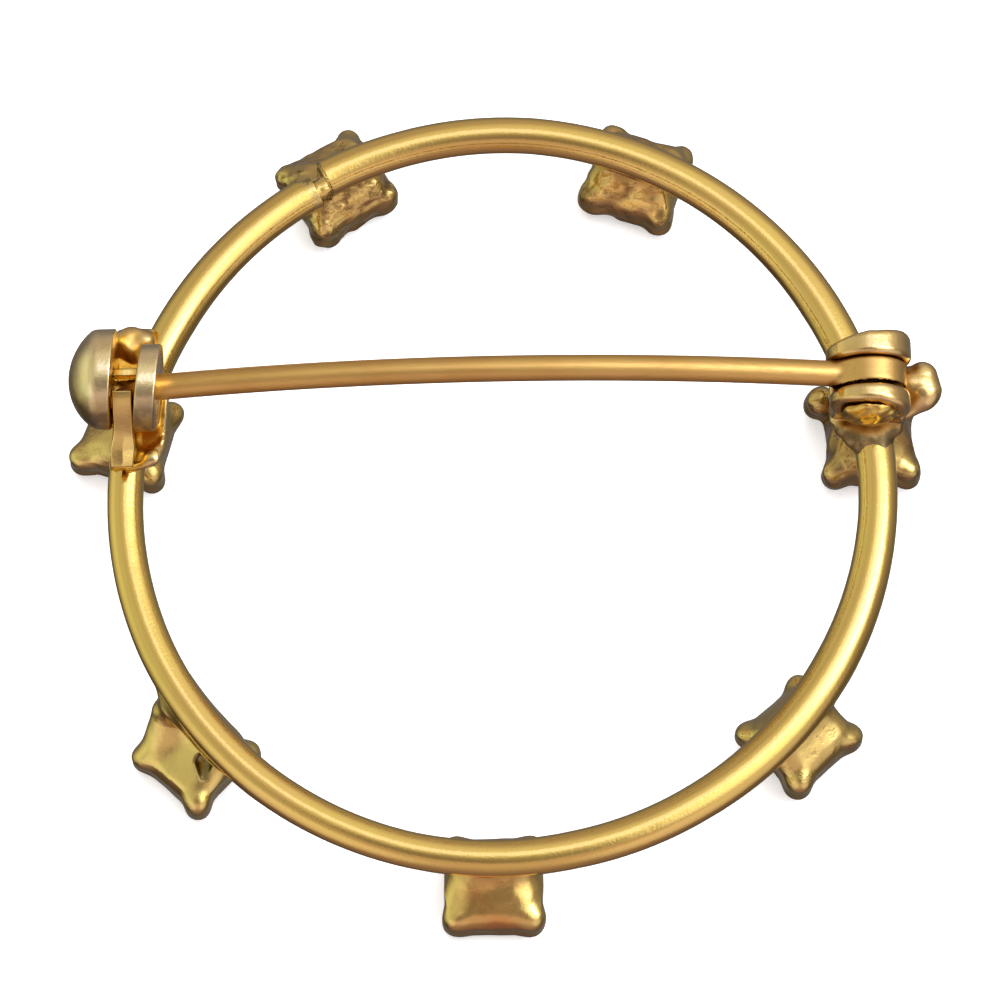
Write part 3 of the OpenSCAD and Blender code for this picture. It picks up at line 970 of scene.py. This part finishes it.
def rivet_head(p, side, face, dome, r):
    out = side * (p[..., 1] - face)
    high = np.hypot(p[..., 0] - RIVET[0], p[..., 2] - RIVET[2])
    return both((np.hypot(out / dome, high / r) - 1) * dome, -out, 0.04)


def rivet_metal(p):
    shape = disc(p, RIVET + np.array([0, -0.1, 0]), 1, 0.4, 1.5, 0.05)
    for head in (NEAR_HEAD, FAR_HEAD):
        shape = join(shape, rivet_head(p, **head), 0.03)
    return shape - 0.05 * uneven(p, 0.6, 8) * np.clip((PIN_Y - p[..., 1]) / 1.0, 0, 1)


print("the rivet's heads are", 2 * NEAR_HEAD["r"], "and", 2 * FAR_HEAD["r"], "mm wide")

# %% [markdown]
# ## The pin
# A springy wire, bowed upward along its length, flattened into a round eye at the hinge and
# sharpened over its last two millimetres at the other end. The bow is part of one large circle, so
# the stem is the part of a huge thin ring that lies between the point and the eye.

# %% Pin metal
TIP_X, POINT_L, TIP_R, STEM_END_X = -14.42, 1.8, 0.06, 13.6
PIN_SHIFT, PIN_DRIFT, DRIFT_FROM_X, DRIFT_L = 0.05, 0.05, -14, 26
EYE_SHIFT, EYE_R, EYE_HALF, EYE_BORE_R = np.array([0.06, -0.13, 0]), 1.38, 0.52, 0.45


def pin_metal(p):
    x, z = p[..., 0], p[..., 2] - PIN_TOP_Z + BOW_R
    y = p[..., 1] - PIN_Y + PIN_SHIFT + PIN_DRIFT * np.clip((x - DRIFT_FROM_X) / DRIFT_L, 0, 1)
    point = np.clip((x - TIP_X) / POINT_L, 0, 1)
    r = TIP_R + (PIN_R - TIP_R) * (1 - (1 - point) ** 1.5)
    stem = np.hypot(np.hypot(x, z) - BOW_R, y) - r
    stem = both(stem, -(x - TIP_X), 0.04)
    stem = both(stem, x - STEM_END_X, 0.05)
    shape = join(stem, disc(p, RIVET + EYE_SHIFT, 1, EYE_R, EYE_HALF, 0.18), 0.3)
    shape = both(shape, np.abs(y + 0.03) - 0.525, 0.06)
    hole = np.hypot(p[..., 0] - RIVET[0], p[..., 2] - RIVET[2]) - EYE_BORE_R
    return np.maximum(shape, -hole)


print("the pin is", 2 * PIN_R, "mm thick")

# %% [markdown]
# Dirt gathers and shade falls where the hinge's pieces meet, even though they are pieces of their own.
# So all of them, and the wire, count when the crevices are measured for dirt and painted shade.

# %% Build the hinge and the pin
def hinge_all(p):
    return np.minimum(np.minimum(hinge_metal(p), rivet_metal(p)), np.minimum(pin_metal(p), wire(p)))


hinge = metal_piece(
    "hinge_ears", hinge_metal, (11.9, 0.75, 4.0), (17.1, 5.4, 8.2), 0.06, hinge_marks, around=hinge_all)
dress(hinge, HINGE_GOLD, "brooch", ["brooch_frame"])
rivet = metal_piece("rivet", rivet_metal, (12.7, 1.4, 5.2), (15.2, 5.4, 7.6), 0.05, around=hinge_all)
dress(rivet, RIVET_GOLD, "brooch", ["hinge_rivet"])
pin = metal_piece(
    "bowed_pin", pin_metal, (-14.6, 3.0, 5.0), (15.4, 4.2, 9.1), 0.075, around=hinge_all)
dress(pin, PIN_GOLD, "pin", ["pin_stem"])

# %% [markdown]
# ## The catch
# Two round cheeks stand on a plate across the wire. The outer one is closed by a dome, and the pin's
# point passes through the inner one. The catch was soldered on a few degrees askew. Leaning the
# space, rather than turning each part, keeps the tumbler's axis true.

# %% Catch plate
CATCH_PLATE_HALF = (1.37, 2.78, 0.19)


def leaned(p, degrees):
    q = p.copy()
    q[..., 0] = p[..., 0] - math.tan(math.radians(degrees)) * (p[..., 1] - PIN_Y)
    return q


def catch_plate(p):
    q = leaned(p, 4.0)
    x, y = q[..., 0], p[..., 1]
    plate = block(q, (-13.9, 3.72, PLATE_Z), CATCH_PLATE_HALF, 0.14) - 0.02 * uneven(p, 0.9, 52)
    beside_lever = np.minimum(-14.55 - x, 2.65 - y)
    far_left_corner = (-14.95 - x) * 0.86 + (y - 5.9) * 0.5
    behind_inner_cheek = np.minimum(x + 13.2, y - 4.1)
    near_right_corner = (x + 12.9) * 0.7 + (1.35 - y) * 0.7
    plate = both(plate, beside_lever, 0.05)
    for trimmed in (far_left_corner, behind_inner_cheek, near_right_corner):
        plate = both(plate, trimmed, 0.1)
    return plate


print("half the catch's plate:", CATCH_PLATE_HALF, "mm")

# %% [markdown]
# The inner cheek is a plain disc on a foot. The outer one is a short drum rounded off by a ball, and
# it sits a little further back. The drum's edge is left almost sharp, as a turned part's would be.

# %% Catch cheeks
INNER_X, INNER_R, INNER_HALF = -13.18, 1.64, 0.385
OUTER_FACE_X, OUTER_R, DOME_BALL_R, OUTER_BACK = -14.52, 1.90, 2.32, 0.36


def inner_cheek(p):
    q = leaned(p, 6.5)
    cheek = disc(q, (INNER_X, PIN_Y, CATCH[2]), 0, INNER_R, INNER_HALF, 0.07)
    return join(cheek, block(q, (INNER_X, PIN_Y, 5.4), (0.37, 1.0, 0.6), 0.1), 0.08)


def outer_cheek(p):
    q = leaned(p, 4.5)
    middle = PIN_Y + OUTER_BACK
    drum = np.hypot(p[..., 1] - middle, p[..., 2] - CATCH[2]) - OUTER_R
    cheek = both(drum, ball(q, (-13.90, middle + 0.10, CATCH[2]), DOME_BALL_R), 0.12)
    cheek = both(cheek, q[..., 0] - OUTER_FACE_X, 0.07)
    return join(cheek, block(q, (-14.94, middle, 5.4), (0.40, 1.0, 0.6), 0.1), 0.08)


print("the cheeks are", 2 * INNER_R, "and", 2 * OUTER_R, "mm across")

# %% [markdown]
# Ridges run along the plate's near edge, and lumps of solder lie at both ends. They are rods and
# beads, joined softly. Last come the holes: the way for the pin's point, and the wider seat in which
# the tumbler's two hubs turn.

# %% Catch metal
NEAR_RIDGES = [
    ((-14.02, 0.98, 4.98), (-13.1, 1.25, 5.03), 0.16),
    ((-13.1, 1.25, 5.03), (-12.75, 2.0, 5.0), 0.12),
    ((-13.75, 2.2, 5.0), (-13.7, 1.3, 5.0), 0.16)]
SOLDER_LUMPS = [
    ((-14.35, 5.9, 5.15), 0.42), ((-13.85, 6.2, 5.0), 0.36), ((-13.35, 6.0, 5.0), 0.38),
    ((-13.85, 5.5, 4.9), 0.40), ((-13.2, 1.45, 4.95), 0.30)]
WAY_R, SEAT_R = 0.56, 0.83


def plate_solder(p):
    solder = rod(p, *NEAR_RIDGES[0])
    for ridge in NEAR_RIDGES[1:]:
        solder = join(solder, rod(p, *ridge), 0.05)
    for spot, r in SOLDER_LUMPS:
        solder = join(solder, ball(p, spot, r), 0.4)
    return solder - 0.05 * uneven(p, 0.6, 51)


def catch_metal(p):
    x = p[..., 0]
    shape = join(join(catch_plate(p), inner_cheek(p), 0.12), outer_cheek(p), 0.12)
    shape = join(shape, plate_solder(p), 0.12)
    from_axis = np.hypot(p[..., 1] - PIN_Y + 0.04, p[..., 2] - CATCH[2])
    shape = cut(shape, np.maximum(from_axis - WAY_R, np.abs(x + 13.9) - 1.5), 0.05)
    shape = cut(shape, np.maximum(from_axis - SEAT_R, np.abs(x + 14.1) - 0.75), 0.03)
    return shape - 0.012 * uneven(p, 1.3, 5)


print("ridges:", len(NEAR_RIDGES), "and solder lumps:", len(SOLDER_LUMPS))

# %% [markdown]
# ## The tumbler
# Between the cheeks turns a small drum with a mouth, which lets the pin in when the lever is down. Its
# lever is a thin curled leaf. It widens past the cheeks, and its right edge is twisted down a little.
# A leaf of changing width and curl is easy to say as two short formulas of the place along it.

# %% Tumbler and lever
DRUM_R, LEVER_DROP, HUB_R, MOUTH, MOUTH_TURN = 1.4, 20, 0.78, 0.5, 50


def drum(p):
    y, z = p[..., 1] - CATCH[1], p[..., 2] - CATCH[2]
    shape = disc(p, CATCH, 0, DRUM_R, 0.40, 0.05)
    for turn in (0, math.radians(MOUTH_TURN)):
        along = y * math.cos(turn) - z * math.sin(turn)
        lift = z * math.cos(turn) + y * math.sin(turn)
        shape = cut(shape, np.maximum(-MOUTH - along, -lift), 0.04)
    return shape


def leaf_line(along):
    free = np.clip((along - 1.65) / 0.6, 0, 1)
    width = 0.37 + 0.08 * free * free * (3 - 2 * free) - 0.04 * np.clip((along - 2.3) / 0.6, 0, 1)
    return -0.02 - 0.07 * np.clip(along - 1.3, 0, 2), width


def leaf(x, along, lift, middle):
    curl = 0.10 * (1 - ((along - 1.9) / 1.1) ** 2) - 0.12 * x ** 2
    curl = curl - 0.40 * np.maximum(x - middle, 0) * np.clip((along - 1.3) / 0.9, 0, 1)
    past_end, past_face = np.abs(along - 1.95) - 0.92, np.abs(lift - curl) - 0.1
    return np.hypot(np.maximum(past_end, 0), np.maximum(past_face, 0)) - 0.14


def tumbler_metal(p):
    q = p - CATCH
    x, y, z = q[..., 0], q[..., 1], q[..., 2]
    t = math.radians(LEVER_DROP)
    along = q @ np.array([0, -math.cos(t), -math.sin(t)])
    lift = q @ np.array([0, -math.sin(t), math.cos(t)])
    middle, width = leaf_line(along)
    shape = both(join(drum(p), leaf(x, along, lift, middle), 1.1), np.abs(x - middle) - width, 0.05)
    hub = disc(p, CATCH, 0, HUB_R, 0.68, 0.04)
    shape = join(shape, np.maximum(hub, -np.maximum(-MOUTH - y, -z)), 0.02)
    return np.maximum(shape, MOUTH - np.hypot(y, z))


print("the lever hangs", LEVER_DROP, "degrees below the level")

# %% [markdown]
# The catch's marks follow its own lean. Dull solder has crept up the near edges of the cheeks and
# over the plate's far end, and the dome is dull and carries painted shade where it turns away.
# Between the cheeks the gold is deeper, and everything low down is darker: both are painted shade.

# %% Build the catch and the tumbler
def catch_all(p):
    return np.minimum(np.minimum(catch_metal(p), tumbler_metal(p)), wire(p))


def catch_marks(p):
    x, y, z = leaned(p, 5.5).T
    near = np.clip((2.95 - y) / 0.6, 0, 1) * np.clip((z - 5.25) / 0.3, 0, 1)
    far = np.clip((y - 5.1) / 0.4, 0, 1) * np.clip((5.75 - z) / 0.3, 0, 1)
    # Painted shade on the side of the dome that turns away.
    dome_side_shade = np.clip((-15.55 - x) / 0.55, 0, 1)
    # Painted shade between the cheeks and low down on the catch.
    between_cheeks_shade = np.clip((0.52 - np.abs(x + 14.04)) / 0.06, 0, 1)
    low = np.clip((5.9 - z) / 0.4, 0, 1)
    return {
        # The solder mark also carries the dome's painted shade.
        "solder": np.maximum(np.maximum(0.85 * near, 0.7 * dome_side_shade), 0.45 * far),
        "crevice": np.maximum(0.8 * between_cheeks_shade * (1 - 0.5 * far), 0.35 * low)}


catch = metal_piece(
    "catch_cheeks", catch_metal, (-16.6, 0.6, 4.4), (-12.2, 6.9, 8.8), 0.06, catch_marks, around=catch_all)
dress(catch, CATCH_GOLD, "brooch", ["brooch_frame"])
tumbler = metal_piece(
    "tumbler_lever", tumbler_metal, CATCH - 3.4, CATCH + np.array([1.0, 1.8, 1.8]), 0.06, around=catch_all)
dress(tumbler, LEVER_GOLD, "tumbler", ["catch_tumbler"])

# %% [markdown]
# ## Light
# Polished metal is a picture of the room. Lamps as objects would show as hard shapes in it, so the
# room is painted on the world instead, by direction: twelve soft lamps that add up over a dim warm
# ground, and one patch near the camera that is dimmed. It stays where it is when the view turns.
# Each row is a direction, the angles at which the glow starts to fall and ends, and its colour.

# %% The studio as a world
LAMPS = [
    ((0.00, 0.06, 1.00), 60, 135, (0.38, 0.33, 0.33)),
    ((0.44, 0.23, 0.87), 12, 60, (0.48, 0.52, 0.48)),
    ((0.62, -0.06, 0.78), 8, 38, (0.85, 0.90, 1.00)),
    ((0.70, 0.04, 0.72), 4, 19, (2.40, 2.40, 3.20)),
    ((0.40, 0.12, 0.91), 3, 16, (1.20, 1.20, 1.60)),
    ((0.08, 0.20, 0.98), 3, 17, (0.40, 0.48, 0.95)),
    ((-0.92, 0.09, 0.38), 12, 60, (0.20, 0.27, 0.20)),
    ((-0.97, 0.15, -0.20), 6, 40, (0.28, 0.28, 0.20)),
    ((0.68, -0.72, 0.15), 8, 38, (0.30, 0.32, 0.38)),
    ((-0.71, -0.69, 0.15), 8, 38, (0.32, 0.33, 0.35)),
    ((0.31, 0.76, -0.58), 20, 90, (0.12, 0.13, 0.16)),
    ((0.00, -0.95, -0.10), 20, 75, (0.22, 0.15, 0.20))]
GROUND = (0.07, 0.05, 0.035)
DIM_PATCH, DIM_BY = ((-0.01, -0.43, 0.90), 4, 24), 0.45


def glow(nodes, way, direction, inner_dirt_and_shade, outer):
    toward = tuple(np.array(direction, float) / np.linalg.norm(direction))
    facing = nodes.node("ShaderNodeVectorMath", {"operation": "DOT_PRODUCT"}, {0: way, 1: toward}, "Value")
    t = step(facing, math.cos(math.radians(outer)), math.cos(math.radians(inner_dirt_and_shade)))
    return t * t * (3 - 2 * t)


def studio_world():
    world = bpy.data.worlds.new("studio")
    bpy.context.scene.world = world
    world.use_nodes = True
    nodes = Nodes(world.node_tree)
    way = nodes.node("ShaderNodeTexCoord")
    total = GROUND
    for direction, inner_dirt_and_shade, outer, colour in LAMPS:
        lit = nodes.scaled(colour, glow(nodes, way, direction, inner_dirt_and_shade, outer))
        total = nodes.node("ShaderNodeVectorMath", {"operation": "ADD"}, {0: total, 1: lit})
    total = nodes.scaled(total, 1 - DIM_BY * glow(nodes, way, *DIM_PATCH))
    nodes.plug(nodes.tree.nodes["Background"].inputs["Color"], total)


studio_world()
print("soft lamps:", len(LAMPS))

# %% [markdown]
# ## Floor and lamp
# The floor is plain and pale. It isn't seen in reflections, because the real brooch lay on something
# darker than the white that its picture was cut out onto. One broad lamp overhead gives the faint
# shadow that seats the brooch on the floor.

# %% Floor and lamp
FLOOR_HALF = 0.6


def pale_floor():
    mesh = bpy.data.meshes.new("floor")
    s = FLOOR_HALF
    mesh.from_pydata([(-s, -s, 0), (s, -s, 0), (s, s, 0), (-s, s, 0)], [], [(0, 1, 2, 3)])
    floor = bpy.data.objects.new("floor", mesh)
    bpy.context.scene.collection.objects.link(floor)
    f = Finish("pale_floor", Roughness=0.9, Base_Color=(0.86, 0.86, 0.855),
               Emission_Color=(1.0, 0.998, 0.99), Emission_Strength=0.42)
    mesh.materials.append(f.material)
    floor.visible_glossy = False


def soft_lamp(name, place, aim, size, power):
    lamp = bpy.data.lights.new(name, "AREA")
    lamp.shape = "DISK"
    lamp.size, lamp.energy = size, power
    obj = bpy.data.objects.new(name, lamp)
    obj.location = place
    obj.rotation_mode = "QUATERNION"
    obj.rotation_quaternion = (Vector(aim) - Vector(place)).to_track_quat("-Z", "Y")
    obj.visible_glossy = False
    bpy.context.scene.collection.objects.link(obj)


pale_floor()
soft_lamp("overhead", (0.05, 0.1, 0.5), (0, 0, 0), 0.5, 3.0)
print("floor", 2 * FLOOR_HALF, "m wide")

# %% [markdown]
# ## Camera
# The camera looks down at nearly 74 degrees from the near side, from the distance that gives the
# photograph's perspective. Its lens and its shift follow from two things measured in the photograph:
# how many pixels a millimetre takes, and where the ring's middle lies.

# %% Camera
AZIMUTH, ELEVATION = math.radians(-1.28), math.radians(73.7)
DISTANCE, SENSOR, PICTURE = 220.0, 36.0, 1000.0
PIXELS_PER_MM, MIDDLE_X, MIDDLE_Y = 26.388, 500.57, 490.55


def studio_camera():
    back = Vector((
        math.sin(AZIMUTH) * math.cos(ELEVATION),
        -math.cos(AZIMUTH) * math.cos(ELEVATION),
        math.sin(ELEVATION)))
    data = bpy.data.cameras.new("camera")
    camera = bpy.data.objects.new("camera", data)
    bpy.context.scene.collection.objects.link(camera)
    data.sensor_width = SENSOR
    data.lens = PIXELS_PER_MM * DISTANCE * SENSOR / PICTURE
    data.shift_x = (PICTURE / 2 - MIDDLE_X) / PICTURE
    data.shift_y = (MIDDLE_Y - PICTURE / 2) / PICTURE
    data.clip_start, data.clip_end = 0.005, 5.0
    camera.location = Vector((0, 0, RING_Z * MM)) + back * (DISTANCE * MM)
    camera.rotation_mode = "QUATERNION"
    camera.rotation_quaternion = (-back).to_track_quat("-Z", "Y")
    bpy.context.scene.camera = camera
    return camera


camera = studio_camera()
bpy.context.scene.view_settings.view_transform = "Standard"
print("camera lens", round(camera.data.lens, 2), "mm")

# %% [markdown]
# The looks may pass the solids' box by a few hundredths of its size at most.
